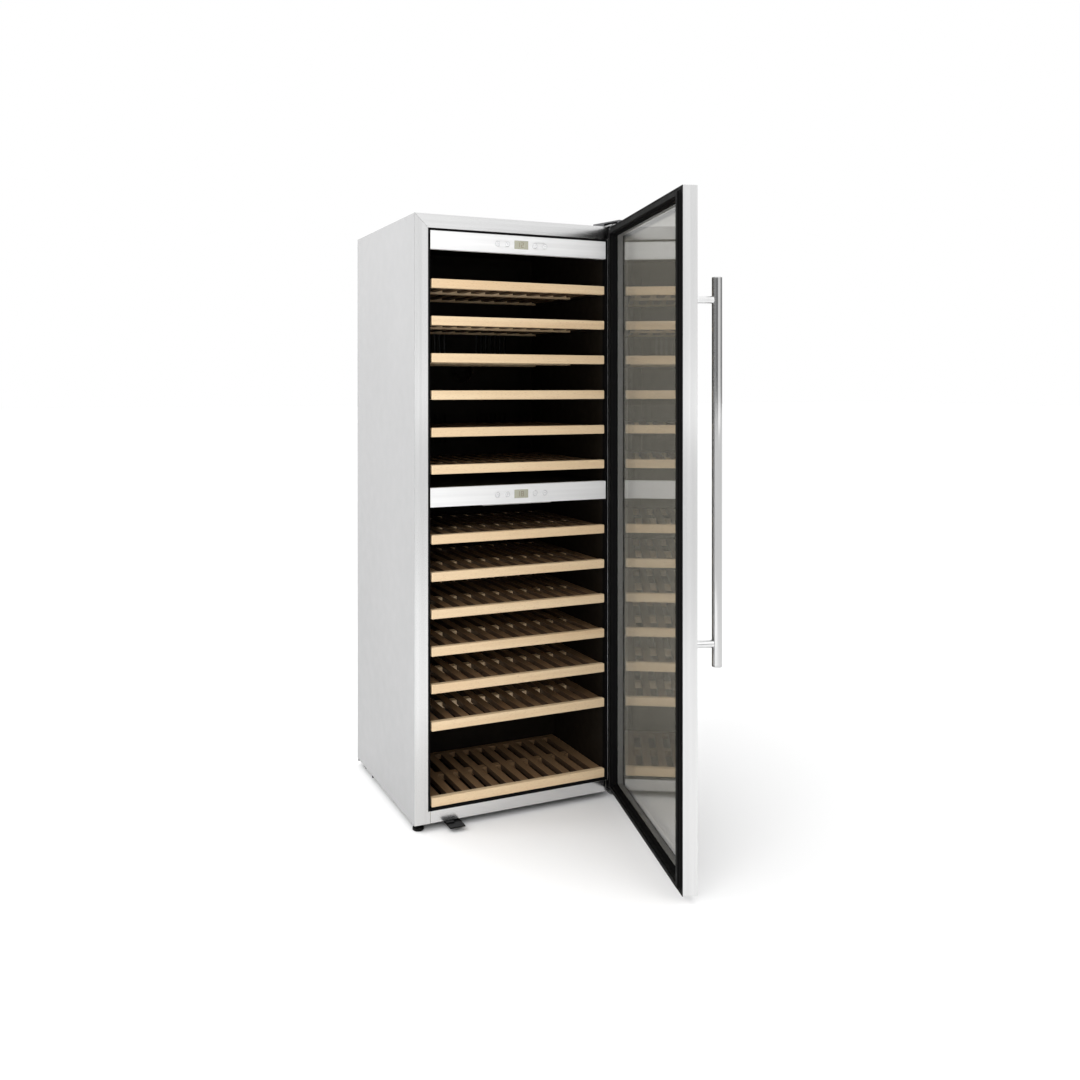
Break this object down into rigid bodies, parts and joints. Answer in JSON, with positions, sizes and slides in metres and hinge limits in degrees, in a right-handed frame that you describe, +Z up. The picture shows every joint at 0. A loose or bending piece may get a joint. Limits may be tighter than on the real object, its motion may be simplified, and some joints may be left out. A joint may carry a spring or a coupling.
{
  "type": "wine cooler",
  "caption": "Tall free-standing wine cooler: glass door with bar handle on the right hinge side, sliding slatted beech shelves in two zones, a control panel for each zone.",
  "frame": {"origin": "centre of the cabinet's footprint, at the level of the floor that the feet and rollers stand on", "axes": "+Z up; -Y is the front, where the door is; +X is the hinge side, on the right seen from the front"},
  "size_m": [0.6586, 1.2023, 1.735],
  "materials": {
    "casing_paint": "satin",
    "back_sheet": "satin",
    "black_steel": "satin",
    "liner_black": "satin",
    "foam": "matte",
    "stainless": "satin",
    "fascia_metal": "satin",
    "display": "gloss",
    "light_bar": "matte",
    "duct_black": "matte",
    "fin_aluminium": "satin",
    "condenser_black": "satin",
    "socket_black": "satin",
    "screw_steel": "satin",
    "hinge_steel": "satin",
    "cover_grey": "satin",
    "gasket_rubber": "matte",
    "tinted_glass": "gloss",
    "spacer_aluminium": "satin",
    "handle_steel": "satin",
    "bush_plastic": "satin",
    "fan_black": "satin",
    "foot_black": "matte",
    "roller_grey": "satin",
    "beech": "satin",
    "button_metal": "satin"
  },
  "bodies": {
    "cabinet": {"side_panels": "casing_paint", "top_panel": "casing_paint", "back_panel": "back_sheet", "base_pan": "black_steel", "liners": "liner_black", "insulation": "foam", "front_frame": "stainless", "frame_trim": "liner_black", "control_panels": "fascia_metal", "displays": "display", "led_strips": "light_bar", "shelf_supports": "liner_black", "duct_covers": "duct_black", "fan_housings": "duct_black", "evaporators": "fin_aluminium", "compressor": "black_steel", "condenser": "condenser_black", "drain_tray": "duct_black", "rear_grille": "back_sheet", "mains_inlet": "socket_black", "cabinet_screws": "screw_steel", "hinge_brackets": "hinge_steel", "hinge_cover": "cover_grey", "door_rest_plate": "black_steel"},
    "door": {"door_frame": "stainless", "door_liner": "liner_black", "door_gasket": "gasket_rubber", "glass_panes": "tinted_glass", "glass_spacer": "spacer_aluminium", "handle_bar": "handle_steel", "handle_posts": "handle_steel", "door_bushes": "bush_plastic"},
    "shelf_01": {"shelf_01": "beech"},
    "shelf_02": {"shelf_02": "beech"},
    "shelf_03": {"shelf_03": "beech"},
    "shelf_04": {"shelf_04": "beech"},
    "shelf_05": {"shelf_05": "beech"},
    "shelf_06": {"shelf_06": "beech"},
    "shelf_07": {"shelf_07": "beech"},
    "shelf_08": {"shelf_08": "beech"},
    "shelf_09": {"shelf_09": "beech"},
    "shelf_10": {"shelf_10": "beech"},
    "shelf_11": {"shelf_11": "beech"},
    "shelf_12": {"shelf_12": "beech"},
    "shelf_13": {"shelf_13": "beech"},
    "button_upper_1": {"button_upper_1": "button_metal"},
    "button_upper_2": {"button_upper_2": "button_metal"},
    "button_upper_3": {"button_upper_3": "button_metal"},
    "button_upper_4": {"button_upper_4": "button_metal"},
    "button_lower_1": {"button_lower_1": "button_metal"},
    "button_lower_2": {"button_lower_2": "button_metal"},
    "button_lower_3": {"button_lower_3": "button_metal"},
    "button_lower_4": {"button_lower_4": "button_metal"},
    "fan_upper": {"fan_upper": "fan_black"},
    "fan_lower": {"fan_lower": "fan_black"},
    "condenser_fan": {"condenser_fan": "fan_black"},
    "foot_left": {"foot_left": "foot_black"},
    "foot_right": {"foot_right": "foot_black"},
    "roller_left": {"roller_left": "roller_grey"},
    "roller_right": {"roller_right": "roller_grey"}
  },
  "joints": [
    {"name": "door_hinge", "type": "hinge", "parent": "cabinet", "child": "door", "pos_m": [0.304, -0.307, 0.87], "axis": [0, 0, 1], "range_deg": [-75, 30]},
    {"name": "shelf_01_slide", "type": "slide", "parent": "cabinet", "child": "shelf_01", "axis": [0, -1, 0], "range_m": [0, 0.028]},
    {"name": "shelf_02_slide", "type": "slide", "parent": "cabinet", "child": "shelf_02", "axis": [0, -1, 0], "range_m": [0, 0.028]},
    {"name": "shelf_03_slide", "type": "slide", "parent": "cabinet", "child": "shelf_03", "axis": [0, -1, 0], "range_m": [0, 0.028]},
    {"name": "shelf_04_slide", "type": "slide", "parent": "cabinet", "child": "shelf_04", "axis": [0, -1, 0], "range_m": [0, 0.028]},
    {"name": "shelf_05_slide", "type": "slide", "parent": "cabinet", "child": "shelf_05", "axis": [0, -1, 0], "range_m": [0, 0.028]},
    {"name": "shelf_06_slide", "type": "slide", "parent": "cabinet", "child": "shelf_06", "axis": [0, -1, 0], "range_m": [0, 0.028]},
    {"name": "shelf_07_slide", "type": "slide", "parent": "cabinet", "child": "shelf_07", "axis": [0, -1, 0], "range_m": [0, 0.028]},
    {"name": "shelf_08_slide", "type": "slide", "parent": "cabinet", "child": "shelf_08", "axis": [0, -1, 0], "range_m": [0, 0.028]},
    {"name": "shelf_09_slide", "type": "slide", "parent": "cabinet", "child": "shelf_09", "axis": [0, -1, 0], "range_m": [0, 0.028]},
    {"name": "shelf_10_slide", "type": "slide", "parent": "cabinet", "child": "shelf_10", "axis": [0, -1, 0], "range_m": [0, 0.028]},
    {"name": "shelf_11_slide", "type": "slide", "parent": "cabinet", "child": "shelf_11", "axis": [0, -1, 0], "range_m": [0, 0.028]},
    {"name": "shelf_12_slide", "type": "slide", "parent": "cabinet", "child": "shelf_12", "axis": [0, -1, 0], "range_m": [0, 0.028]},
    {"name": "shelf_13_slide", "type": "slide", "parent": "cabinet", "child": "shelf_13", "axis": [0, -1, 0], "range_m": [0, 0.028]},
    {"name": "button_upper_1_press", "type": "slide", "parent": "cabinet", "child": "button_upper_1", "axis": [0, 1, 0], "range_m": [0, 0.0008], "stiffness_N_per_m": 800, "springref_m": -0.0004},
    {"name": "button_upper_2_press", "type": "slide", "parent": "cabinet", "child": "button_upper_2", "axis": [0, 1, 0], "range_m": [0, 0.0008], "stiffness_N_per_m": 800, "springref_m": -0.0004},
    {"name": "button_upper_3_press", "type": "slide", "parent": "cabinet", "child": "button_upper_3", "axis": [0, 1, 0], "range_m": [0, 0.0008], "stiffness_N_per_m": 800, "springref_m": -0.0004},
    {"name": "button_upper_4_press", "type": "slide", "parent": "cabinet", "child": "button_upper_4", "axis": [0, 1, 0], "range_m": [0, 0.0008], "stiffness_N_per_m": 800, "springref_m": -0.0004},
    {"name": "button_lower_1_press", "type": "slide", "parent": "cabinet", "child": "button_lower_1", "axis": [0, 1, 0], "range_m": [0, 0.0008], "stiffness_N_per_m": 800, "springref_m": -0.0004},
    {"name": "button_lower_2_press", "type": "slide", "parent": "cabinet", "child": "button_lower_2", "axis": [0, 1, 0], "range_m": [0, 0.0008], "stiffness_N_per_m": 800, "springref_m": -0.0004},
    {"name": "button_lower_3_press", "type": "slide", "parent": "cabinet", "child": "button_lower_3", "axis": [0, 1, 0], "range_m": [0, 0.0008], "stiffness_N_per_m": 800, "springref_m": -0.0004},
    {"name": "button_lower_4_press", "type": "slide", "parent": "cabinet", "child": "button_lower_4", "axis": [0, 1, 0], "range_m": [0, 0.0008], "stiffness_N_per_m": 800, "springref_m": -0.0004},
    {"name": "fan_upper_spin", "type": "hinge", "parent": "cabinet", "child": "fan_upper", "pos_m": [0, 0.2025, 1.29], "axis": [0, 1, 0], "continuous": true},
    {"name": "fan_lower_spin", "type": "hinge", "parent": "cabinet", "child": "fan_lower", "pos_m": [0, 0.2025, 0.59], "axis": [0, 1, 0], "continuous": true},
    {"name": "condenser_fan_spin", "type": "hinge", "parent": "cabinet", "child": "condenser_fan", "pos_m": [0.0375, 0.1975, 0.1], "axis": [1, 0, 0], "continuous": true},
    {"name": "foot_left_turn", "type": "hinge", "parent": "cabinet", "child": "foot_left", "pos_m": [-0.309, -0.2605, 0], "axis": [0, 0, 1], "continuous": true},
    {"name": "foot_right_turn", "type": "hinge", "parent": "cabinet", "child": "foot_right", "pos_m": [0.3, -0.2045, 0], "axis": [0, 0, 1], "continuous": true},
    {"name": "roller_left_spin", "type": "hinge", "parent": "cabinet", "child": "roller_left", "pos_m": [-0.305, 0.2325, 0.012], "axis": [1, 0, 0], "continuous": true},
    {"name": "roller_right_spin", "type": "hinge", "parent": "cabinet", "child": "roller_right", "pos_m": [0.305, 0.2325, 0.012], "axis": [1, 0, 0], "continuous": true}
  ]
}
